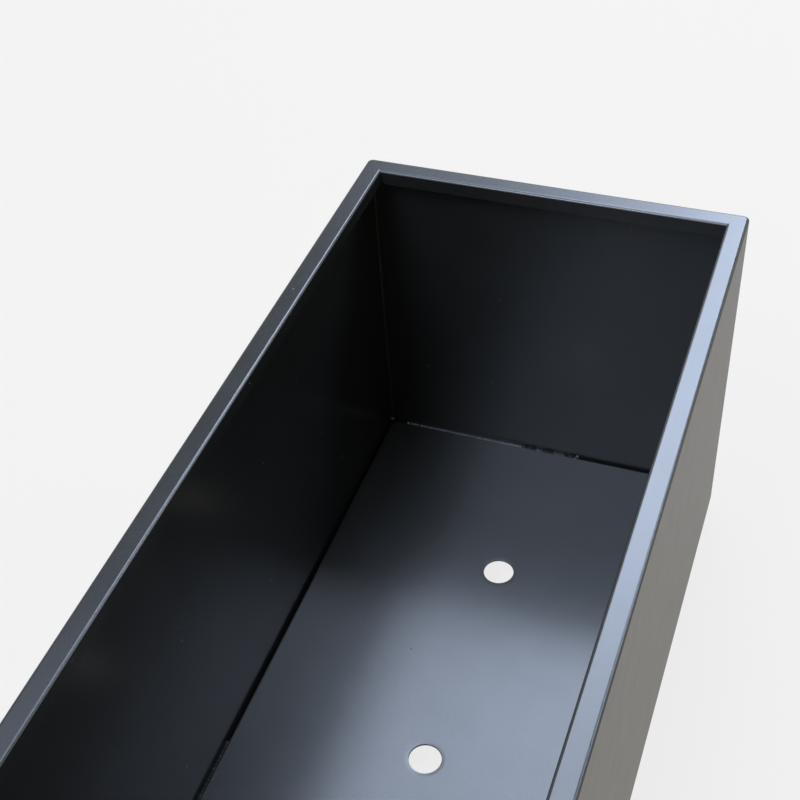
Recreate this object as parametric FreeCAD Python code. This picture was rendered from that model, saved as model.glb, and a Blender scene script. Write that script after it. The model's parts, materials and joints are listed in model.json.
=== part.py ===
"""A free-standing planter trough folded from steel sheet, with a raised, drained floor and levelling feet."""
import FreeCAD, Part
import math
import os

# Driving dimensions of the trough, in millimetres
LENGTH = 900.0  # outside, along Y
WIDTH = 400.0  # outside, along X
WALL_HEIGHT = 400.0  # bottom edge to rim top
SHEET = 2.0  # thickness of walls and floor
BEND_RADIUS = 1.0  # inside radius of every fold
CORNER_RADIUS = 6.0  # rounding of the upright outer corners
RIM_WIDTH = 20.0  # top flange, from the outer face to the face of the lip
LIP_DEPTH = 16.0  # down-turned lip, from the rim top
BASE_FLANGE = 30.0  # bottom flange, from the outer face inwards

# Driving dimensions of the floor
FLOOR_RAISE = 20.0  # floor top above the walls' bottom edge
FLOOR_GAP = 1.0  # between the floor's turned-down edge and the fold at the wall's foot
FLOOR_NOTCH = 6.0  # square relief at each corner of the floor
DRAIN_COUNT = 3
DRAIN_DIAMETER = 33.0
DRAIN_END_DISTANCE = 200.0  # first and last drain hole, from the outer ends
DRAIN_EDGE_RADIUS = 0.4  # rounding of a drain hole's upper edge

# Driving dimensions of the welds
CORNER_WELD_LEG = 3.0
STITCH_LENGTH = 110.0  # bead on each long wall
STITCH_SHIFT = -95.0  # middle of a long wall's bead from the trough's middle, to the near end where negative
END_SEAM_LENGTH = 220.0  # bead on each end wall
END_SEAM_SHIFT = -70.0  # middle of an end bead from the centre line, to the left where negative
BEAD_CROWN = 0.8  # bead top above the floor

# Driving dimensions of the floor bearers
BEARER_SHEET = 1.5
BEARER_CHANNEL = 40.0  # clear width inside the channel
BEARER_FLANGE = 16.0  # from the inside of the channel to the flange's tip
BEARER_END_CLEARANCE = 0.5  # past the bend inside the floor's turned-down edge
BEARER_END_DISTANCE = 75.0  # outermost bearers, from the outer ends

# Driving dimensions of the levelling feet
STUD_DIAMETER = 8.0
THREAD_CLEARANCE = 0.1  # around the stud in nuts and pad
STUD_HOLE_CLEARANCE = 0.5  # around the stud in a bearer
STUD_TOP_GAP = 0.5  # under the floor
STUD_CHAMFER = 1.0
SPANNER_SIZE = 13.0  # across flats of the nuts and of the stud's collar
COLLAR_HEIGHT = 4.0
COLLAR_GAP = 1.0  # between the collar and the lock nut
WELD_NUT_HEIGHT = 6.5
LOCK_NUT_HEIGHT = 4.0
NUT_CHAMFER = 0.8
PAD_DIAMETER = 40.0
PAD_HEIGHT = 6.0
PAD_FLOOR = 2.0  # left under the stud
PAD_EDGE_RADIUS = 2.0
PAD_FOOT_CHAMFER = 0.6
FOOT_FLANGE_DISTANCE = 20.0  # foot axis, past the bottom flange's free edge

# Levels and places that follow from them
OUTER_BEND = BEND_RADIUS + SHEET
BASE_LEVEL = PAD_HEIGHT + COLLAR_HEIGHT + COLLAR_GAP + LOCK_NUT_HEIGHT - SHEET
SEAT_LEVEL = BASE_LEVEL + SHEET  # top of the bottom flanges
FLOOR_TOP = BASE_LEVEL + FLOOR_RAISE
FLOOR_UNDERSIDE = FLOOR_TOP - SHEET
RIM_TOP = BASE_LEVEL + WALL_HEIGHT
GROOVE = BEND_RADIUS + FLOOR_GAP  # between the wall's inner face and the floor's turned-down edge
PAN_HALF_WIDTH = WIDTH / 2 - SHEET - GROOVE
PAN_HALF_LENGTH = LENGTH / 2 - SHEET - GROOVE
DRAIN_PITCH = (LENGTH - 2 * DRAIN_END_DISTANCE) / (DRAIN_COUNT - 1)
DRAIN_PLACES = [DRAIN_PITCH * i + DRAIN_END_DISTANCE - LENGTH / 2 for i in range(DRAIN_COUNT)]
END_BEARER_PLACE = LENGTH / 2 - BEARER_END_DISTANCE
FOOT_X = WIDTH / 2 - BASE_FLANGE - FOOT_FLANGE_DISTANCE
STUD_RADIUS = STUD_DIAMETER / 2
THREAD_BORE = STUD_RADIUS + THREAD_CLEARANCE

UP = FreeCAD.Vector(0, 0, 1)


def rounded_run(points, radii):
    """Edges through the points, with a tangent arc of the given radius at each inner corner."""
    edges = []
    start = points[0]
    for before, corner, after, radius in zip(points, points[1:], points[2:], radii):
        incoming = (corner - before).normalize()
        outgoing = (after - corner).normalize()
        half_turn = incoming.getAngle(outgoing) / 2
        setback = radius * math.tan(half_turn)
        inward = (outgoing - incoming).normalize()
        arc_start = corner - incoming * setback
        arc_middle = corner + inward * radius * (1 / math.cos(half_turn) - 1)
        arc_end = corner + outgoing * setback
        edges.append(Part.LineSegment(start, arc_start).toShape())
        edges.append(Part.Arc(arc_start, arc_middle, arc_end).toShape())
        start = arc_end
    edges.append(Part.LineSegment(start, points[-1]).toShape())
    return edges


def folded_section(outline, thickness, place):
    """Face of a folded sheet: one skin follows the outline, the other lies on the outline's left.

    The outline's points are (across, height) pairs, and place turns such a pair into a point in space.
    """
    runs = [FreeCAD.Vector(b[0] - a[0], b[1] - a[1], 0).normalize() for a, b in zip(outline, outline[1:])]
    lefts = [FreeCAD.Vector(-run.y, run.x, 0) for run in runs]
    first = FreeCAD.Vector(*outline[0], 0)
    last = FreeCAD.Vector(*outline[-1], 0)
    near_skin = [first]
    far_skin = [first + lefts[0] * thickness]
    near_radii = []
    far_radii = []
    for i, (across, height) in enumerate(outline[1:-1]):
        corner = FreeCAD.Vector(across, height, 0)
        shift = (lefts[i] + lefts[i + 1]) * (thickness / (1 + lefts[i].dot(lefts[i + 1])))
        turns_left = runs[i].cross(runs[i + 1]).z > 0
        near_skin.append(corner)
        far_skin.append(corner + shift)
        near_radii.append(BEND_RADIUS + thickness if turns_left else BEND_RADIUS)
        far_radii.append(BEND_RADIUS if turns_left else BEND_RADIUS + thickness)
    near_skin.append(last)
    far_skin.append(last + lefts[-1] * thickness)
    near_points = [place(p.x, p.y) for p in near_skin]
    far_points = [place(p.x, p.y) for p in far_skin]
    edges = rounded_run(near_points, near_radii)
    edges.append(Part.LineSegment(near_points[-1], far_points[-1]).toShape())
    edges += rounded_run(far_points[::-1], far_radii[::-1])
    edges.append(Part.LineSegment(far_points[0], near_points[0]).toShape())
    return Part.Face(Part.Wire(Part.__sortEdges__(edges)))


def prism(points, bottom, top):
    """Upright prism on a polygon of (x, y) points."""
    corners = [FreeCAD.Vector(x, y, bottom) for x, y in points]
    face = Part.Face(Part.makePolygon(corners + corners[:1]))
    return face.extrude(UP * (top - bottom))


def upright_cylinder(radius, x, y, bottom, top):
    return Part.makeCylinder(radius, top - bottom, FreeCAD.Vector(x, y, bottom))


def hexagon(x, y, bottom, top):
    """Hexagonal prism of the spanner size, with its corners chamfered at both ends."""
    corner_radius = SPANNER_SIZE / 2 / math.cos(math.pi / 6)
    turns = [math.pi / 3 * i for i in range(6)]
    points = [(x + corner_radius * math.cos(a), y + corner_radius * math.sin(a)) for a in turns]
    turned = upright_cylinder(corner_radius, x, y, bottom, top)
    rims = [edge for edge in turned.Edges if isinstance(edge.Curve, Part.Circle)]
    return prism(points, bottom, top).common(turned.makeChamfer(NUT_CHAMFER, rims))


def trough_envelope():
    """Outside of the four walls together, with rounded upright corners."""
    corner = FreeCAD.Vector(-WIDTH / 2, -LENGTH / 2, BASE_LEVEL)
    block = Part.makeBox(WIDTH, LENGTH, WALL_HEIGHT, corner)
    upright = [e for e in block.Edges if abs(e.Vertexes[0].Z - e.Vertexes[1].Z) > WALL_HEIGHT / 2]
    rounded = block.makeFillet(CORNER_RADIUS, upright)
    rim_edges = [e for e in rounded.Edges if min(v.Z for v in e.Vertexes) > RIM_TOP - SHEET]
    return rounded.makeFillet(OUTER_BEND, rim_edges)


def wall_outline():
    """Section of a wall panel: lip, rim flange, wall and bottom flange, from the outer face inwards."""
    return [
        (RIM_WIDTH, RIM_TOP - LIP_DEPTH),
        (RIM_WIDTH, RIM_TOP),
        (0, RIM_TOP),
        (0, BASE_LEVEL),
        (BASE_FLANGE, BASE_LEVEL),
    ]


def long_wall(side):
    """Folded side panel, mitred at both ends. side is -1 for the left and 1 for the right."""
    def place(inward, height):
        return FreeCAD.Vector(side * (WIDTH / 2 - inward), -LENGTH / 2, height)

    panel = folded_section(wall_outline(), SHEET, place).extrude(FreeCAD.Vector(0, LENGTH, 0))
    outer = side * WIDTH / 2
    inner = side * (WIDTH / 2 - BASE_FLANGE)
    end = LENGTH / 2
    mitred = [(outer, -end), (inner, BASE_FLANGE - end), (inner, end - BASE_FLANGE), (outer, end)]
    return panel.common(prism(mitred, BASE_LEVEL, RIM_TOP)).common(trough_envelope())


def end_wall(side):
    """Folded end panel, mitred at both ends. side is -1 for the near end and 1 for the far end."""
    def place(inward, height):
        return FreeCAD.Vector(-WIDTH / 2, side * (LENGTH / 2 - inward), height)

    panel = folded_section(wall_outline(), SHEET, place).extrude(FreeCAD.Vector(WIDTH, 0, 0))
    outer = side * LENGTH / 2
    inner = side * (LENGTH / 2 - BASE_FLANGE)
    end = WIDTH / 2
    mitred = [(-end, outer), (BASE_FLANGE - end, inner), (end - BASE_FLANGE, inner), (end, outer)]
    return panel.common(prism(mitred, BASE_LEVEL, RIM_TOP)).common(trough_envelope())


def pan_outline(half_size):
    """Section of the floor: flat, with both edges turned down onto the bottom flanges."""
    return [
        (half_size, SEAT_LEVEL),
        (half_size, FLOOR_TOP),
        (-half_size, FLOOR_TOP),
        (-half_size, SEAT_LEVEL),
    ]


def floor_blank():
    """The floor with its four turned-down edges and notched corners, before the drain holes."""
    run_y = PAN_HALF_LENGTH - FLOOR_NOTCH
    run_x = PAN_HALF_WIDTH - FLOOR_NOTCH

    def across_width(across, height):
        return FreeCAD.Vector(across, -run_y, height)

    def along_length(along, height):
        return FreeCAD.Vector(-run_x, along, height)

    wide = folded_section(pan_outline(PAN_HALF_WIDTH), SHEET, across_width)
    long = folded_section(pan_outline(PAN_HALF_LENGTH), SHEET, along_length)
    wide_sheet = wide.extrude(FreeCAD.Vector(0, 2 * run_y, 0))
    long_sheet = long.extrude(FreeCAD.Vector(2 * run_x, 0, 0))
    return wide_sheet.fuse(long_sheet).removeSplitter()


def drain_cutter(place):
    """What a drain hole removes: a plain bore that opens out over its rounded upper edge."""
    radius = DRAIN_DIAMETER / 2
    edge = DRAIN_EDGE_RADIUS
    middle = edge * (1 - math.sin(math.pi / 4))
    bore_bottom = FreeCAD.Vector(radius, 0, FLOOR_UNDERSIDE - SHEET)
    bore_top = FreeCAD.Vector(radius, 0, FLOOR_TOP - edge)
    round_middle = FreeCAD.Vector(radius + middle, 0, FLOOR_TOP - middle)
    round_top = FreeCAD.Vector(radius + edge, 0, FLOOR_TOP)
    mouth = FreeCAD.Vector(radius + edge, 0, FLOOR_TOP + SHEET)
    axis_top = FreeCAD.Vector(0, 0, FLOOR_TOP + SHEET)
    axis_bottom = FreeCAD.Vector(0, 0, FLOOR_UNDERSIDE - SHEET)
    edges = [
        Part.LineSegment(axis_bottom, bore_bottom).toShape(),
        Part.LineSegment(bore_bottom, bore_top).toShape(),
        Part.Arc(bore_top, round_middle, round_top).toShape(),
        Part.LineSegment(round_top, mouth).toShape(),
        Part.LineSegment(mouth, axis_top).toShape(),
        Part.LineSegment(axis_top, axis_bottom).toShape(),
    ]
    cutter = Part.Face(Part.Wire(edges)).revolve(FreeCAD.Vector(0, 0, 0), UP, 360)
    cutter.translate(FreeCAD.Vector(0, place, 0))
    return cutter


def floor_pan():
    pan = floor_blank()
    for place in DRAIN_PLACES:
        pan = pan.cut(drain_cutter(place))
    return pan


def corner_weld(side_x, side_y):
    """Concave weld bead in an upright inner corner, from the floor to the fold under the rim."""
    x = side_x * (WIDTH / 2 - SHEET)
    y = side_y * (LENGTH / 2 - SHEET)
    hollow_x = x - side_x * CORNER_WELD_LEG
    hollow_y = y - side_y * CORNER_WELD_LEG
    top = RIM_TOP - OUTER_BEND
    corner = prism([(x, y), (hollow_x, y), (hollow_x, hollow_y), (x, hollow_y)], FLOOR_TOP, top)
    return corner.cut(upright_cylinder(CORNER_WELD_LEG, hollow_x, hollow_y, FLOOR_TOP, top))


def corner_welds():
    return Part.makeCompound([corner_weld(x, y) for x in (-1, 1) for y in (-1, 1)])


def floor_weld(wall_point, inward, along, length):
    """Bead that fills the groove between the wall and the floor's rounded edge over that length.

    wall_point is the middle of the bead on the wall's inner face, at the floor's level.
    """
    bend_centre = wall_point + inward * (GROOVE + OUTER_BEND) - UP * OUTER_BEND
    slanted = (UP - inward).normalize()
    root = wall_point - UP * OUTER_BEND
    crown = wall_point + UP * BEAD_CROWN
    bulge = wall_point + inward * ((GROOVE + OUTER_BEND) / 2) + UP * BEAD_CROWN
    toe = bend_centre + UP * OUTER_BEND
    bend_middle = bend_centre + slanted * OUTER_BEND
    bend_end = bend_centre - inward * OUTER_BEND
    edges = [
        Part.LineSegment(root, crown).toShape(),
        Part.Arc(crown, bulge, toe).toShape(),
        Part.Arc(toe, bend_middle, bend_end).toShape(),
        Part.LineSegment(bend_end, root).toShape(),
    ]
    bead = Part.Face(Part.Wire(edges)).extrude(along * length)
    bead.translate(along * (-length / 2))
    return bead


def floor_welds():
    along_x = FreeCAD.Vector(1, 0, 0)
    along_y = FreeCAD.Vector(0, 1, 0)
    beads = []
    for side in (-1, 1):
        long_point = FreeCAD.Vector(side * (WIDTH / 2 - SHEET), STITCH_SHIFT, FLOOR_TOP)
        end_point = FreeCAD.Vector(END_SEAM_SHIFT, side * (LENGTH / 2 - SHEET), FLOOR_TOP)
        beads.append(floor_weld(long_point, along_x * -side, along_y, STITCH_LENGTH))
        beads.append(floor_weld(end_point, along_y * -side, along_x, END_SEAM_LENGTH))
    return Part.makeCompound(beads)


def floor_bearer(place, has_feet):
    """Hat-section channel across the trough, between the floor's underside and the bottom flanges."""
    half_length = PAN_HALF_WIDTH - OUTER_BEND - BEARER_END_CLEARANCE
    half_channel = BEARER_CHANNEL / 2
    half_flange = half_channel + BEARER_FLANGE
    web_top = SEAT_LEVEL + BEARER_SHEET
    outline = [
        (half_flange, FLOOR_UNDERSIDE),
        (half_channel, FLOOR_UNDERSIDE),
        (half_channel, web_top),
        (-half_channel, web_top),
        (-half_channel, FLOOR_UNDERSIDE),
        (-half_flange, FLOOR_UNDERSIDE),
    ]

    def at_left_end(across, height):
        return FreeCAD.Vector(-half_length, place + across, height)

    bearer = folded_section(outline, BEARER_SHEET, at_left_end).extrude(FreeCAD.Vector(2 * half_length, 0, 0))
    if has_feet:
        for x in (-FOOT_X, FOOT_X):
            hole = STUD_RADIUS + STUD_HOLE_CLEARANCE
            bearer = bearer.cut(upright_cylinder(hole, x, place, SEAT_LEVEL, web_top))
    return bearer


def nut(x, y, bottom, top):
    return hexagon(x, y, bottom, top).cut(upright_cylinder(THREAD_BORE, x, y, bottom, top))


def weld_nut(x, y):
    """Nut that stands on the bearer's web, inside the channel."""
    bottom = SEAT_LEVEL + BEARER_SHEET
    return nut(x, y, bottom, bottom + WELD_NUT_HEIGHT)


def lock_nut(x, y):
    """Thin nut under the bearer's web."""
    return nut(x, y, SEAT_LEVEL - LOCK_NUT_HEIGHT, SEAT_LEVEL)


def foot_stud(x, y):
    """Stud with a chamfered tip under the floor and a hexagonal collar that stands on the pad."""
    shank = upright_cylinder(STUD_RADIUS, x, y, PAD_FLOOR, FLOOR_UNDERSIDE - STUD_TOP_GAP)
    tip = max((e for e in shank.Edges if isinstance(e.Curve, Part.Circle)), key=lambda e: e.Curve.Center.z)
    shank = shank.makeChamfer(STUD_CHAMFER, [tip])
    return shank.fuse(hexagon(x, y, PAD_HEIGHT, PAD_HEIGHT + COLLAR_HEIGHT))


def foot_pad(x, y):
    """Round pad with a rounded shoulder, a chamfered lower edge and a socket for the stud."""
    disc = upright_cylinder(PAD_DIAMETER / 2, x, y, 0, PAD_HEIGHT)
    rims = sorted((e for e in disc.Edges if isinstance(e.Curve, Part.Circle)), key=lambda e: e.Curve.Center.z)
    disc = disc.makeFillet(PAD_EDGE_RADIUS, rims[-1:])
    rims = sorted((e for e in disc.Edges if isinstance(e.Curve, Part.Circle)), key=lambda e: e.Curve.Center.z)
    disc = disc.makeChamfer(PAD_FOOT_CHAMFER, rims[:1])
    return disc.cut(upright_cylinder(THREAD_BORE, x, y, PAD_FLOOR, PAD_HEIGHT))


def trough_nodes():
    nodes = {
        "long_wall_left": long_wall(-1),
        "long_wall_right": long_wall(1),
        "end_wall_far": end_wall(1),
        "end_wall_near": end_wall(-1),
        "floor_pan": floor_pan(),
        "corner_welds": corner_welds(),
        "floor_welds": floor_welds(),
        "floor_bearer_far": floor_bearer(END_BEARER_PLACE, True),
        "floor_bearer_near": floor_bearer(-END_BEARER_PLACE, True),
    }
    for i, (low, high) in enumerate(zip(DRAIN_PLACES, DRAIN_PLACES[1:])):
        nodes["floor_bearer_middle_%d" % (i + 1)] = floor_bearer((low + high) / 2, False)
    return nodes


def foot_nodes():
    nodes = {}
    for end, y in (("far", END_BEARER_PLACE), ("near", -END_BEARER_PLACE)):
        for hand, x in (("left", -FOOT_X), ("right", FOOT_X)):
            for name, make in (
                ("weld_nut", weld_nut),
                ("lock_nut", lock_nut),
                ("foot_stud", foot_stud),
                ("foot_pad", foot_pad),
            ):
                nodes["%s_%s_%s" % (name, end, hand)] = make(x, y)
    return nodes


os.makedirs("parts", exist_ok=True)
for node, shape in {**trough_nodes(), **foot_nodes()}.items():
    print(node, len(shape.Solids), "solids,", round(shape.Volume), "mm3, valid", shape.isValid())
    shape.exportStep("parts/%s.step" % node)
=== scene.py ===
import json
import math
import random

import bpy
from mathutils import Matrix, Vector


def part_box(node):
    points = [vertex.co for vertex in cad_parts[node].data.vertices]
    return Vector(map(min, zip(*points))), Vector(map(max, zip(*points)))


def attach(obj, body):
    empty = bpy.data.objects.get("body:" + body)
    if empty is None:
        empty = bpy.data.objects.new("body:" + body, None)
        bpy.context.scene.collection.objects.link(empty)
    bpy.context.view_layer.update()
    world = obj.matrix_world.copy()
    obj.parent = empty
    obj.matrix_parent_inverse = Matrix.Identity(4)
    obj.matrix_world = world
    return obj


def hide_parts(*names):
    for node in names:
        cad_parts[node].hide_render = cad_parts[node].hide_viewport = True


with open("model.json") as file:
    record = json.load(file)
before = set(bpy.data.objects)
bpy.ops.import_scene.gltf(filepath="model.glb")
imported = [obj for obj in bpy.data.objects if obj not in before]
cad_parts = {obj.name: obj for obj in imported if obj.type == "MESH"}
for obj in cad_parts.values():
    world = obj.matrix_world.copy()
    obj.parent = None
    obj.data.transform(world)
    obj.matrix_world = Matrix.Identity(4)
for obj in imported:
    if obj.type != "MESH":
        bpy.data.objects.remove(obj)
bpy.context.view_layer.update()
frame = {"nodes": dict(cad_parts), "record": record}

# Lengths are in metres and colours are linear, unless a comment says otherwise.

# Directions
ACROSS = Vector((1, 0, 0))
ALONG = Vector((0, 1, 0))
UP = Vector((0, 0, 1))

# Camera, fitted to the photograph's edges
CAMERA_PLACE = (0.2983, -0.6983, 1.2249)
CAMERA_TURN = (46.962, 3.299, 19.818)  # degrees
CAMERA_LENS = 62.336  # millimetres
CAMERA_SENSOR = 36.0  # millimetres

# Studio
PALE = 0.815  # backdrop, linear, as the floor is far off
FLOOR_GLOW = (0.800, 0.800, 0.800)  # part of the floor's paleness that no shadow reaches
FLOOR_MIRRORED = (0.46, 0.445, 0.42)  # the same part as glossy surfaces show it
FLOOR_SHARE = (0.084, 0.078, 0.070)  # part that takes light and shadow
FLOOR_SIZE = 60.0
FLOOR_BODY = "pad_far_left"  # foot that the floor stays under when the feet are screwed out
WORLD_LIGHT = (0.28, 0.21, 0.14)
CEILING = 0.10  # studio above the pale backdrop
BACKDROP_FADE = (0.30, 0.55)  # sines of the elevations where it starts to fade and meets the ceiling
PANEL_HEIGHT = 3.4
PANEL_TINT = (0.85, 1.0, 1.29)
PANELS = {  # across from, to, along from, to, radiance
    "over_floor": (-1.35, 0.15, 1.3, 2.2, 4.4),
    "middle": (-0.90, 0.45, 2.2, 3.6, 6.8),
    "left": (-1.35, -0.90, 2.2, 3.6, 1.2),
    "far": (-0.30, 0.45, 3.6, 7.0, 7.7),
    "far_left": (-0.90, -0.30, 3.6, 7.0, 3.0),
    "far_outer_left": (-2.20, -0.90, 4.3, 7.0, 1.1),
    "right": (0.45, 1.10, 2.2, 3.6, 5.4),
    "far_right": (2.00, 3.40, 1.8, 3.8, 6.2),
    "near": (-0.45, 0.45, -0.3, 1.3, 4.4),
    "near_left": (-1.50, -0.90, -0.6, 1.3, 1.0),
    "near_outer_left": (-2.60, -1.50, -0.8, 1.5, 1.0),
    "behind_left": (-1.90, -1.20, -4.2, -1.0, 2.9),
    "behind_middle": (-1.20, -0.25, -4.2, -1.0, 7.0),
    "behind_right": (-0.25, 0.20, -4.2, -1.0, 1.0),
}

# Shader nodes
MIX_COLOURS = (6, 7)  # sockets of a Mix node that take colours
MIX_RESULT = 2  # and the one that gives the blend
NOISE_SPAN = (0.3, 0.7)  # noise values between which a material changes
PATCH_SPAN = (0.35, 0.65)  # the same for patches with a clearer edge
RISING = (0.0, 1.0)
FALLING = (1.0, 0.0)

# Powder coat
COAT_COLOUR = (0.0160, 0.0178, 0.0168)
COAT_ROUGHNESS = 0.25
DULL_ROUGHNESS = 0.62  # where the powder lies thin and dry, in the groove
COAT_IOR = 1.8
PEEL_NOISE = (900.0, 2.0)  # scale per metre and detail, as for each noise here
PEEL_BUMP = (0.035, 0.0001)  # strength and depth, as for each bump here
WAVE_NOISE = (6.0, 1.0)  # slow waves of the sheet
WAVE_BUMP = (0.25, 0.001)
CLOUD_NOISE = (14.0, 4.0)  # paler patches
CLOUD_GAIN = 1.25  # colour of the palest patches, over the coat's own
SMUDGE_NOISE = (30.0, 3.0)  # patches that handling has dulled
SMUDGE_SPAN = (0.35, 0.75)
SMUDGE_DULLING = 0.02  # roughness that a smudge adds
DUST_COLOUR = (0.13, 0.13, 0.13)
DUST_CELL = 28.0  # cells per metre, with a speck in each
DUST_SPECK = (0.015, 0.028)  # reach of a speck's core and of its edge, in cells
DUST_ROUGHNESS = 0.8
DUST_BUMP = (0.6, 0.0003)

# Floor sheet
FLOOR_DISH = (0.25, 0.16)  # curvature of the floor sheet across and along, per metre
FLOOR_TILT = 0.0050  # its slope across
FLOOR_TWIST = 0.05  # growth of that slope along it, per metre
drains = [mount for mount in frame["record"]["mounts"] if mount["kind"] == "bore"]
drain_places = sorted(mount["pos_m"][1] for mount in drains)
HOLE_RADIUS = drains[0]["dims"]["r_mm"] / 1000
HOLE_SPACING = drain_places[1] - drain_places[0]  # in a row with one hole at the middle
HOLE_ROLL = 0.0035  # width of the edge that the punch drew down
HOLE_DROP = 0.00018  # and how far

# Bare weld residue
RESIDUE_BURNT = (0.10, 0.075, 0.05)
RESIDUE_BARE = (0.42, 0.38, 0.33)
RESIDUE_PATCHES = (900.0, 3.0)
RESIDUE_SPAN = (0.4, 0.6)
RESIDUE_GRAIN = (3000.0, 2.0)
RESIDUE_ROUGHNESS = (0.5, 0.8)
RESIDUE_BUMP = (0.5, 0.0002)

# Zinc plate
ZINC_BLUE = (0.56, 0.58, 0.62)
ZINC_WARM = (0.68, 0.67, 0.63)
ZINC_CLOUD = (260.0, 4.0)
ZINC_GRAIN = (2600.0, 3.0)
ZINC_ROUGHNESS = (0.28, 0.46)
ZINC_BUMP = (0.2, 0.00005)

# Foot plastic
PLASTIC_DARK = (0.018, 0.018, 0.019)
PLASTIC_PALE = (0.027, 0.027, 0.027)
PLASTIC_CLOUD = (120.0, 3.0)
PLASTIC_GRAIN = (1800.0, 3.0)
PLASTIC_ROUGHNESS = (0.48, 0.62)
PLASTIC_BUMP = (0.35, 0.0001)

# Skins
SHARP_ANGLE = 40  # degrees, between faces that don't shade as one
FREQUENCY_SPREAD = (0.7, 1.3)  # factors drawn for the waves of an uneven shape

# Weld beads along the floor's edge
BEAD_SEED = 11  # for the waves of all beads
RING_STEP = 0.0004  # between rings of points along a bead
BEAD_POINTS = 12  # across the face of a bead
GROOVE_WIDTH = 0.0050  # from the wall to the flat of the floor
BEAD_ROOT = 0.0026  # below the floor

# Beads along the end walls
SEAM = (-0.180, 0.040)  # from and to, across an end wall
BEAD_CROWN = 0.0008  # above the floor
BEAD_BULGE = 0.0007  # of its face, between crown and toe
BEAD_ROOT_WIDTH = 0.0015
BEAD_END = 0.004  # length over which a bead rises from nothing
BEAD_WIDTH = 0.97  # mean share of the groove that it covers
WIDTH_SWING = 0.06  # variation of that share
WIDTH_WAVES = (0.031, 0.012, 0.007)  # lengths of the waves, as for all waves here
HEIGHT_SWING = 0.0002
HEIGHT_WAVES = (0.023, 0.009, 0.005)
RIPPLE_PITCH = 0.0030
RIPPLE_DEPTH = 0.00022
RIPPLE_LAG = 0.35  # of the middle of a ripple behind its ends, in pitches
RAGGED_LENGTH = 0.070  # stretch at the right end of an end bead that breaks up
RAGGED_START = 0.006  # length over which that sets in
RAGGED_LOSS = 0.55  # mean share of the weld that is missing there
RAGGED_WAVES = (0.030, 0.017, 0.010)
MOST_FILL = 1.15  # where the ragged weld is piled up
EMPTY_LEVEL = -0.8 * BEAD_ROOT  # top of the bead where no weld is left
EMPTY_WIDTH = 0.35  # share of the width that is left there

# Stitch beads along the long walls
STITCH = (-0.150, -0.040)  # from and to, along a long wall
STITCH_SINK = 0.0010  # top of a stitch bead, below the floor
STITCH_WIDTH = 0.0027
STITCH_LUMP = 0.0046  # from lump to lump
STITCH_DIP = 0.0015  # how far the bead sinks between lumps
STITCH_END = 0.3  # share of the height at the very end
DRIFT = 0.35  # of the lumps along the bead, in lumps
DRIFT_WAVES = (0.041, 0.019)
SWELL = 0.0003  # of the lumps' height
SWELL_WAVES = (0.017, 0.008)

# Lumps of bare weld
RESIDUE_SEED = 5  # for the waves of all lumps
RESIDUE_SIZE = 0.0026  # in the far left corner
SEAM_RESIDUE_SIZE = 0.0019  # where the far seam runs out
RESIDUE_ROOT = 0.0005  # how far a lump goes into the walls
LUMP_RINGS = 10
LUMP_POINTS = 16
LUMP_HEIGHT = 0.8  # over its width
LUMP_SWING = 0.28  # unevenness of its reach
LUMP_TWIST = 2.2  # turn of that unevenness for each radian from pole to pole
LUMP_WAVES = (1.9, 0.8)  # radians

# Threaded studs
STUD_RADIUS = 0.0040
STUD_PITCH = 0.00125
THREAD_DEPTH = 0.00065
THREAD_FLAT = 1 / 24  # half the width of crest and root, in pitches
THREAD_RINGS = 10  # for each pitch
STUD_CHAMFER = 0.0010
STUD_SEGMENTS = 48
COLLAR_BOTTOM = 0.0060  # above the ground, at rest
COLLAR_TOP = 0.0100
COLLAR_FLATS = 0.0130  # across the hexagon
COLLAR_CHAMFER = 0.0008
CHAMFER_STEPS = (0.0, 0.5, 1.0)  # shares of that chamfer at which the collar has a ring of points


def add(tree, kind, inputs=None, **properties):
    """New shader node with its properties and the values of its inputs set."""
    node = tree.nodes.new(kind)
    for name, value in properties.items():
        setattr(node, name, value)
    for name, value in (inputs or {}).items():
        node.inputs[name].default_value = value
    return node


def new_material(name):
    """Material with an empty node tree."""
    material = bpy.data.materials.new(name)
    material.use_nodes = True
    material.node_tree.nodes.clear()
    return material


def object_place(tree):
    """Coordinates in the frame that the object and its CAD model share."""
    return add(tree, "ShaderNodeTexCoord").outputs["Object"]


def noise(tree, place, scale, detail):
    """Noise of a scale per metre."""
    texture = add(tree, "ShaderNodeTexNoise", {"Scale": scale, "Detail": detail})
    tree.links.new(place, texture.inputs["Vector"])
    return texture.outputs["Fac"]


def ranged(tree, value, span, result):
    """Maps value from the two numbers of span to those of result, clamped."""
    limits = dict(zip(("From Min", "From Max", "To Min", "To Max"), (*span, *result)))
    node = add(tree, "ShaderNodeMapRange", limits)
    tree.links.new(value, node.inputs["Value"])
    return node.outputs["Result"]


def mixed_colour(tree, factor, *colours):
    """Blend of two colours, each a value or an output."""
    node = add(tree, "ShaderNodeMix", data_type="RGBA")
    tree.links.new(factor, node.inputs["Factor"])
    for socket, colour in zip(MIX_COLOURS, colours):
        if isinstance(colour, tuple):
            node.inputs[socket].default_value = (*colour, 1)
        else:
            tree.links.new(colour, node.inputs[socket])
    return node.outputs[MIX_RESULT]


def combined(tree, operation, *values):
    """Result of a math operation on values, each a number or an output."""
    node = add(tree, "ShaderNodeMath", operation=operation)
    for socket, value in zip(node.inputs, values):
        if isinstance(value, float):
            socket.default_value = value
        else:
            tree.links.new(value, socket)
    return node.outputs["Value"]


def squared(tree, value):
    """Square of an output."""
    return combined(tree, "MULTIPLY", value, value)


def bumped(tree, layers):
    """Normal with the height layers (height, strength, distance) stacked on each other."""
    normal = None
    for height, strength, distance in layers:
        node = add(tree, "ShaderNodeBump", {"Strength": strength, "Distance": distance})
        tree.links.new(height, node.inputs["Height"])
        if normal:
            tree.links.new(normal, node.inputs["Normal"])
        normal = node.outputs["Normal"]
    return normal


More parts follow.
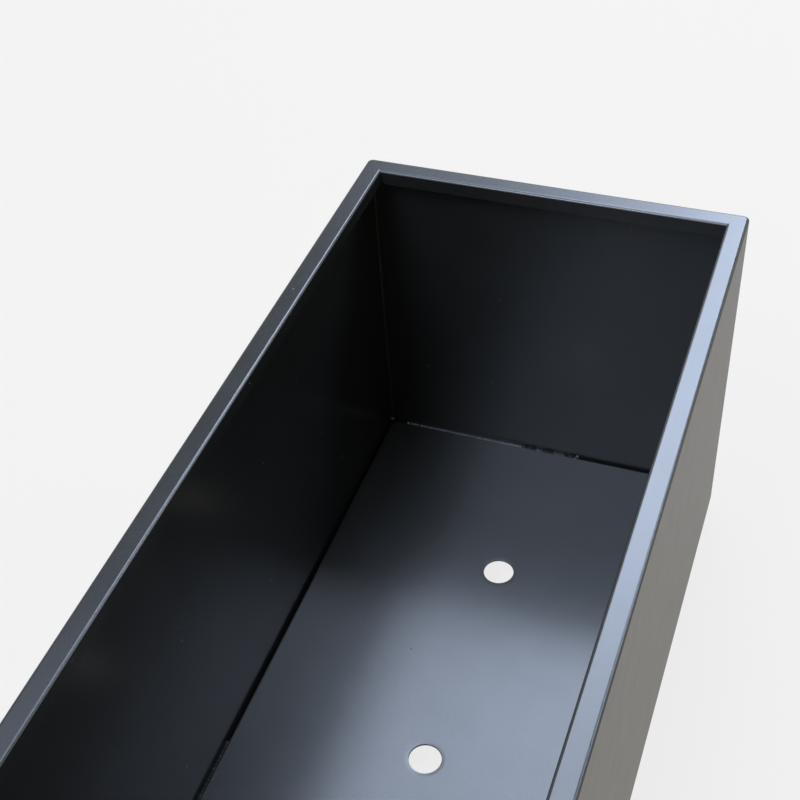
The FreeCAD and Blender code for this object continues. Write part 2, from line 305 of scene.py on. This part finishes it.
def finished(tree, colour, roughness, normal, inputs=None):
    """Principled surface with those linked, and the rest set on its own sockets."""
    shader = add(tree, "ShaderNodeBsdfPrincipled", inputs)
    tree.links.new(colour, shader.inputs["Base Color"])
    tree.links.new(roughness, shader.inputs["Roughness"])
    tree.links.new(normal, shader.inputs["Normal"])
    out = add(tree, "ShaderNodeOutputMaterial")
    tree.links.new(shader.outputs["BSDF"], out.inputs["Surface"])


def hole_edges(tree, x, y):
    """Height of the sheet around the drain holes, which the punch drew down."""
    along = combined(tree, "WRAP", y, HOLE_SPACING / 2, -HOLE_SPACING / 2)
    reach = combined(tree, "SQRT", combined(tree, "ADD", squared(tree, x), squared(tree, along)))
    return ranged(tree, reach, (HOLE_RADIUS, HOLE_RADIUS + HOLE_ROLL), (-HOLE_DROP, 0.0))


def uneven_floor(tree, place):
    """Height of the floor sheet: sagging towards its middle, slightly twisted, with drawn-down holes."""
    parts = add(tree, "ShaderNodeSeparateXYZ")
    tree.links.new(place, parts.inputs["Vector"])
    x = parts.outputs["X"]
    y = parts.outputs["Y"]
    slope = combined(tree, "ADD", combined(tree, "MULTIPLY", y, FLOOR_TWIST), FLOOR_TILT)
    rises = [
        combined(tree, "MULTIPLY", squared(tree, x), FLOOR_DISH[0] / 2),
        combined(tree, "MULTIPLY", squared(tree, y), FLOOR_DISH[1] / 2),
        combined(tree, "MULTIPLY", x, slope),
        hole_edges(tree, x, y),
    ]
    total = rises[0]
    for rise in rises[1:]:
        total = combined(tree, "ADD", total, rise)
    return total


def powder_coat(name, gloss_roughness, shape=None):
    """Black powder coat on folded sheet: fine orange peel, slight waves, smudges and specks of dust."""
    material = new_material(name)
    tree = material.node_tree
    place = object_place(tree)
    specks = add(tree, "ShaderNodeTexVoronoi", {"Scale": DUST_CELL})
    tree.links.new(place, specks.inputs["Vector"])
    dust = ranged(tree, specks.outputs["Distance"], DUST_SPECK, FALLING)
    patches = ranged(tree, noise(tree, place, *CLOUD_NOISE), PATCH_SPAN, RISING)
    tone = mixed_colour(tree, patches, COAT_COLOUR, tuple(CLOUD_GAIN * part for part in COAT_COLOUR))
    colour = mixed_colour(tree, dust, tone, DUST_COLOUR)
    sheen_span = (gloss_roughness, gloss_roughness + SMUDGE_DULLING)
    sheen = ranged(tree, noise(tree, place, *SMUDGE_NOISE), SMUDGE_SPAN, sheen_span)
    roughness = combined(tree, "MAXIMUM", sheen, combined(tree, "MULTIPLY", dust, DUST_ROUGHNESS))
    layers = [
        (noise(tree, place, *WAVE_NOISE), *WAVE_BUMP),
        (noise(tree, place, *PEEL_NOISE), *PEEL_BUMP),
        (dust, *DUST_BUMP),
    ]
    if shape:
        layers.insert(0, (shape(tree, place), 1.0, 1.0))
    finished(tree, colour, roughness, bumped(tree, layers), {"IOR": COAT_IOR})
    return material


def weld_residue():
    """Burnt flux and bare weld that the coat didn't take on: tan and grey, rough."""
    material = new_material("weld_residue")
    tree = material.node_tree
    place = object_place(tree)
    patches = ranged(tree, noise(tree, place, *RESIDUE_PATCHES), RESIDUE_SPAN, RISING)
    grain = noise(tree, place, *RESIDUE_GRAIN)
    colour = mixed_colour(tree, patches, RESIDUE_BURNT, RESIDUE_BARE)
    roughness = ranged(tree, grain, NOISE_SPAN, RESIDUE_ROUGHNESS)
    finished(tree, colour, roughness, bumped(tree, [(grain, *RESIDUE_BUMP)]))
    return material


def zinc_plate():
    """Bright zinc plating with a faint blue passivation and fine tumbling marks."""
    material = new_material("zinc_plate")
    tree = material.node_tree
    place = object_place(tree)
    clouds = ranged(tree, noise(tree, place, *ZINC_CLOUD), NOISE_SPAN, RISING)
    grain = noise(tree, place, *ZINC_GRAIN)
    colour = mixed_colour(tree, clouds, ZINC_BLUE, ZINC_WARM)
    roughness = ranged(tree, grain, NOISE_SPAN, ZINC_ROUGHNESS)
    finished(tree, colour, roughness, bumped(tree, [(grain, *ZINC_BUMP)]), {"Metallic": 1.0})
    return material


def foot_plastic():
    """Moulded black plastic with a fine spark-eroded texture."""
    material = new_material("foot_plastic")
    tree = material.node_tree
    place = object_place(tree)
    cloud = noise(tree, place, *PLASTIC_CLOUD)
    grain = noise(tree, place, *PLASTIC_GRAIN)
    colour = mixed_colour(tree, ranged(tree, cloud, PATCH_SPAN, RISING), PLASTIC_DARK, PLASTIC_PALE)
    roughness = ranged(tree, cloud, NOISE_SPAN, PLASTIC_ROUGHNESS)
    finished(tree, colour, roughness, bumped(tree, [(grain, *PLASTIC_BUMP)]))
    return material


def dress_nodes(finish):
    """Gives every CAD node the finish of its material slot."""
    for entry in frame["record"]["subparts"]:
        mesh = frame["nodes"][entry["node"]].data
        mesh.materials.clear()
        mesh.materials.append(finish[entry["material_slot"]])


def joined_piece(name, skins, body, material, node=None):
    """One object made of several closed skins, riding on a body, in place of a CAD node if one is named."""
    mesh = bpy.data.meshes.new(name)
    points = []
    faces = []
    for skin_points, skin_faces in skins:
        faces += [tuple(len(points) + i for i in face) for face in skin_faces]
        points += skin_points
    mesh.from_pydata(points, [], faces)
    mesh.polygons.foreach_set("use_smooth", [True] * len(mesh.polygons))
    mesh.set_sharp_from_angle(angle=math.radians(SHARP_ANGLE))
    mesh.materials.append(material)
    piece = bpy.data.objects.new(name, mesh)
    bpy.context.scene.collection.objects.link(piece)
    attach(piece, body)
    if node:
        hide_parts(node)


def skin_over(rings):
    """Points and faces of a closed skin over rings of points, capped at both ends."""
    count = len(rings[0])
    points = [point for ring in rings for point in ring]
    faces = []
    for i in range(len(rings) - 1):
        for j in range(count):
            k = (j + 1) % count
            faces.append((i * count + j, i * count + k, (i + 1) * count + k, (i + 1) * count + j))
    faces.append(tuple(reversed(range(count))))
    faces.append(tuple(range(len(points) - count, len(points))))
    return points, faces


def stations(length):
    """Distances along a bead at which it has a ring of points."""
    count = round(length / RING_STEP)
    return [length * i / count for i in range(count + 1)]


def wander(draw, waves):
    """Smooth random curve of about -1..1 along a length, from a few sines with drawn phases."""
    parts = [(draw.uniform(*FREQUENCY_SPREAD) / wave, draw.uniform(0, math.tau)) for wave in waves]
    return lambda t: sum(math.sin(math.tau * t * turns + phase) for turns, phase in parts) / len(parts)


def bead_fill(t, length, broken):
    """Share of its full size that an end bead has at t: rounded off at both ends, ragged at the last."""
    end = min(min(t, length - t) / BEAD_END, 1.0)
    fill = math.sqrt(max(0.0, 1 - (1 - end) ** 2))
    ragged = (t - length + RAGGED_LENGTH) / RAGGED_START
    if ragged > 0:
        fill *= 1 - min(ragged, 1.0) * (RAGGED_LOSS - broken(t))
    return max(0.0, min(fill, MOST_FILL))


def weld_bead(start, along, inward, length, draw):
    """Rippled fillet bead from start along a wall's foot, which breaks up over its last stretch."""
    wide = wander(draw, WIDTH_WAVES)
    high = wander(draw, HEIGHT_WAVES)
    broken = wander(draw, RAGGED_WAVES)
    rings = []
    for t in stations(length):
        fill = bead_fill(t, length, broken)
        full = min(fill, 1.0)
        cover = BEAD_WIDTH + WIDTH_SWING * wide(t)
        width = GROOVE_WIDTH * cover * (EMPTY_WIDTH + (1 - EMPTY_WIDTH) * full)
        crown = EMPTY_LEVEL + (BEAD_CROWN - EMPTY_LEVEL) * fill + HEIGHT_SWING * high(t)
        toe = EMPTY_LEVEL * (1 - full)
        place = start + along * t
        ring = []
        for j in range(BEAD_POINTS):
            share = j / (BEAD_POINTS - 1)
            arch = math.sin(math.pi * share)
            ripple = abs(math.sin(math.pi * (t / RIPPLE_PITCH + RIPPLE_LAG * arch)))
            bulge = BEAD_BULGE * fill - RIPPLE_DEPTH * (1 - ripple)
            level = crown + (toe - crown) * share + bulge * arch
            ring.append(place + inward * (width * share) + UP * level)
        ring.append(place + inward * BEAD_ROOT_WIDTH - UP * BEAD_ROOT)
        ring.append(place - UP * BEAD_ROOT)
        rings.append(ring)
    return skin_over(rings)


def stitch_bead(start, along, inward, length, draw):
    """String of lumps low in the groove along a wall's foot."""
    drift = wander(draw, DRIFT_WAVES)
    swell = wander(draw, SWELL_WAVES)
    rings = []
    for t in stations(length):
        end = min(min(t, length - t) / STITCH_LUMP, 1.0)
        lump = abs(math.sin(math.pi * (t / STITCH_LUMP + DRIFT * drift(t))))
        height = BEAD_ROOT - STITCH_SINK - STITCH_DIP * (1 - lump) + SWELL * swell(t)
        height *= STITCH_END + (1 - STITCH_END) * end
        ring = []
        for j in range(BEAD_POINTS):
            turn = math.pi * j / (BEAD_POINTS - 1)
            across = STITCH_WIDTH / 2 * (1 - math.cos(turn))
            level = height * math.sin(turn) - BEAD_ROOT
            ring.append(start + along * t + inward * across + UP * level)
        rings.append(ring)
    return skin_over(rings)


def floor_welds(bright, dull):
    """Beads that hold the floor: stitches on the long walls, and seams that run out of weld on the ends."""
    low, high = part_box("floor_welds")
    floor_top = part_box("floor_pan")[1].z
    draw = random.Random(BEAD_SEED)
    stitches = []
    for inward, wall in ((ACROSS, low.x), (-ACROSS, high.x)):
        start = Vector((wall, STITCH[0], floor_top))
        stitches.append(stitch_bead(start, ALONG, inward, STITCH[1] - STITCH[0], draw))
    seams = []
    for inward, wall in ((ALONG, low.y), (-ALONG, high.y)):
        start = Vector((SEAM[0], wall, floor_top))
        seams.append(weld_bead(start, ACROSS, inward, SEAM[1] - SEAM[0], draw))
    joined_piece("floor_stitch_beads", stitches, "planter", dull, "floor_welds")
    joined_piece("floor_seam_beads", seams, "planter", bright, "floor_welds")


def residue_lump(place, size, draw):
    """Uneven lump at a place in a corner, against the walls to its left and behind it."""
    bump = wander(draw, LUMP_WAVES)
    rings = []
    for i in range(1, LUMP_RINGS):
        polar = math.pi * i / LUMP_RINGS
        ring = []
        for j in range(LUMP_POINTS):
            turn = math.tau * j / LUMP_POINTS
            reach = size * (1 + LUMP_SWING * bump(turn + LUMP_TWIST * polar) * math.sin(polar))
            across = max(reach * math.sin(polar) * math.cos(turn), -RESIDUE_ROOT)
            along = min(reach * math.sin(polar) * math.sin(turn), RESIDUE_ROOT)
            ring.append(place + Vector((across, along, -LUMP_HEIGHT * reach * math.cos(polar))))
        rings.append(ring)
    return skin_over(rings)


def residue(material):
    """Bare lumps in the far left corner and at the end of the far seam."""
    low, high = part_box("floor_welds")
    floor_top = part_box("floor_pan")[1].z
    draw = random.Random(RESIDUE_SEED)
    lumps = [
        residue_lump(Vector((low.x, high.y, floor_top)), RESIDUE_SIZE, draw),
        residue_lump(Vector((SEAM[1] - SEAM_RESIDUE_SIZE, high.y, floor_top)), SEAM_RESIDUE_SIZE, draw),
    ]
    joined_piece("weld_residue", lumps, "planter", material)


def collar_reach(turn, depth):
    """Radius of the hexagonal collar at a turn about the axis, depth in from its nearer end face."""
    corner = COLLAR_FLATS / 2 / math.cos(math.pi / 6)
    side = (turn + math.pi / 6) % (math.pi / 3) - math.pi / 6
    flat = COLLAR_FLATS / 2 / math.cos(math.pi / 6 - abs(side))
    return min(flat, corner - COLLAR_CHAMFER + min(depth, COLLAR_CHAMFER))


def thread_reach(turn, level, tip):
    """Radius of a right-hand thread at a turn and a level, drawn in towards the chamfered tip."""
    phase = (level / STUD_PITCH - turn / math.tau) % 1.0
    climb = (abs(phase - 0.5) - THREAD_FLAT) / (0.5 - 2 * THREAD_FLAT)
    ridge = min(1.0, max(0.0, climb))
    return min(STUD_RADIUS - THREAD_DEPTH * (1 - ridge), STUD_RADIUS - STUD_CHAMFER + tip - level)


def ring_about(axis, level, reach):
    """Ring of points about an upright axis, with the radius that reach gives for each turn."""
    ring = []
    for j in range(STUD_SEGMENTS):
        turn = math.tau * j / STUD_SEGMENTS
        radius = reach(turn)
        ring.append(Vector((axis.x + radius * math.cos(turn), axis.y + radius * math.sin(turn), level)))
    return ring


def threaded_stud(end, hand, material):
    """Stud with a hexagonal collar on the pad and a thread from there to its tip."""
    node = "foot_stud_%s_%s" % (end, hand)
    low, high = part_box(node)
    axis = (low + high) / 2
    rings = [ring_about(axis, level, lambda turn: STUD_RADIUS) for level in (low.z, COLLAR_BOTTOM)]
    for share in CHAMFER_STEPS:
        depth = COLLAR_CHAMFER * share
        rings.append(ring_about(axis, COLLAR_BOTTOM + depth, lambda turn: collar_reach(turn, depth)))
    for share in reversed(CHAMFER_STEPS):
        depth = COLLAR_CHAMFER * share
        rings.append(ring_about(axis, COLLAR_TOP - depth, lambda turn: collar_reach(turn, depth)))
    steps = round((high.z - COLLAR_TOP) / STUD_PITCH * THREAD_RINGS)
    for i in range(steps + 1):
        level = COLLAR_TOP + (high.z - COLLAR_TOP) * i / steps
        rings.append(ring_about(axis, level, lambda turn: thread_reach(turn, level, high.z)))
    body = "stud_%s_%s" % (end, hand)
    joined_piece("threaded_%s" % node, [skin_over(rings)], body, material, node)


def seen_directly(tree):
    """1 for rays from the camera and for mirror and glass rays, 0 for the light that falls on things."""
    path = add(tree, "ShaderNodeLightPath").outputs
    either = combined(tree, "MAXIMUM", path["Is Camera Ray"], path["Is Glossy Ray"])
    return combined(tree, "MAXIMUM", either, path["Is Transmission Ray"])


def pale_ground():
    """Pale finish that takes shadows and is clear from below."""
    material = new_material("studio_floor")
    tree = material.node_tree
    diffuse = add(tree, "ShaderNodeBsdfDiffuse", {"Color": (*FLOOR_SHARE, 1)})
    glow = add(tree, "ShaderNodeEmission")
    mirrored = add(tree, "ShaderNodeLightPath").outputs["Is Glossy Ray"]
    both = add(tree, "ShaderNodeAddShader")
    clear = add(tree, "ShaderNodeBsdfTransparent")
    sided = add(tree, "ShaderNodeMixShader")
    out = add(tree, "ShaderNodeOutputMaterial")
    tree.links.new(mixed_colour(tree, mirrored, FLOOR_GLOW, FLOOR_MIRRORED), glow.inputs["Color"])
    tree.links.new(seen_directly(tree), glow.inputs["Strength"])
    tree.links.new(diffuse.outputs["BSDF"], both.inputs[0])
    tree.links.new(glow.outputs["Emission"], both.inputs[1])
    tree.links.new(add(tree, "ShaderNodeNewGeometry").outputs["Backfacing"], sided.inputs["Fac"])
    tree.links.new(both.outputs["Shader"], sided.inputs[1])
    tree.links.new(clear.outputs["BSDF"], sided.inputs[2])
    tree.links.new(sided.outputs["Shader"], out.inputs["Surface"])
    return material


def studio_floor():
    """Ground under the feet, which goes down with a foot."""
    mesh = bpy.data.meshes.new("studio_floor")
    half = FLOOR_SIZE / 2
    corners = [(-half, -half, 0), (half, -half, 0), (half, half, 0), (-half, half, 0)]
    mesh.from_pydata(corners, [], [(0, 1, 2, 3)])
    mesh.materials.append(pale_ground())
    floor = bpy.data.objects.new("studio_floor", mesh)
    bpy.context.scene.collection.objects.link(floor)
    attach(floor, FLOOR_BODY)


def studio_world():
    """Dim all-round light on things, behind a pale backdrop that fades to a dark ceiling in reflections."""
    world = bpy.data.worlds.new("studio")
    world.use_nodes = True
    bpy.context.scene.world = world
    tree = world.node_tree
    tree.nodes.clear()
    direction = add(tree, "ShaderNodeSeparateXYZ")
    tree.links.new(add(tree, "ShaderNodeTexCoord").outputs["Generated"], direction.inputs["Vector"])
    fade = ranged(tree, direction.outputs["Z"], BACKDROP_FADE, (PALE, CEILING))
    camera_ray = add(tree, "ShaderNodeLightPath").outputs["Is Camera Ray"]
    paleness = combined(tree, "MAXIMUM", fade, combined(tree, "MULTIPLY", camera_ray, PALE))
    lit = add(tree, "ShaderNodeBackground", {"Color": (*WORLD_LIGHT, 1)})
    pale = add(tree, "ShaderNodeBackground")
    mix = add(tree, "ShaderNodeMixShader")
    out = add(tree, "ShaderNodeOutputWorld")
    tree.links.new(paleness, pale.inputs["Color"])
    tree.links.new(seen_directly(tree), mix.inputs["Fac"])
    tree.links.new(lit.outputs["Background"], mix.inputs[1])
    tree.links.new(pale.outputs["Background"], mix.inputs[2])
    tree.links.new(mix.outputs["Shader"], out.inputs["Surface"])


def panel_light(name, left, right, near, far, radiance):
    """Level rectangular panel that shines straight down."""
    lamp = bpy.data.lights.new(name, "AREA")
    lamp.shape = "RECTANGLE"
    lamp.size = right - left
    lamp.size_y = far - near
    lamp.energy = radiance * math.pi * lamp.size * lamp.size_y
    lamp.color = PANEL_TINT
    light = bpy.data.objects.new(name, lamp)
    light.location = ((left + right) / 2, (near + far) / 2, PANEL_HEIGHT)
    bpy.context.scene.collection.objects.link(light)


def photo_camera():
    """Camera at the photograph's viewing angle."""
    lens = bpy.data.cameras.new("photo_camera")
    lens.lens = CAMERA_LENS
    lens.sensor_width = CAMERA_SENSOR
    camera = bpy.data.objects.new("photo_camera", lens)
    camera.location = CAMERA_PLACE
    camera.rotation_euler = [math.radians(angle) for angle in CAMERA_TURN]
    bpy.context.scene.collection.objects.link(camera)
    bpy.context.scene.camera = camera


# The planter
finish = {
    "powder_coated_steel": powder_coat("powder_coat_black", COAT_ROUGHNESS),
    "zinc_plated_steel": zinc_plate(),
    "foot_plastic": foot_plastic(),
}
dress_nodes(finish)
floor_finish = powder_coat("powder_coat_floor", COAT_ROUGHNESS, uneven_floor)
frame["nodes"]["floor_pan"].data.materials[0] = floor_finish
floor_welds(finish["powder_coated_steel"], powder_coat("powder_coat_dull", DULL_ROUGHNESS))
residue(weld_residue())
for end in ("far", "near"):
    for hand in ("left", "right"):
        threaded_stud(end, hand, finish["zinc_plated_steel"])

# The studio
bpy.context.scene.view_settings.view_transform = "Standard"
studio_floor()
studio_world()
for name, panel in PANELS.items():
    panel_light(name, *panel)
photo_camera()
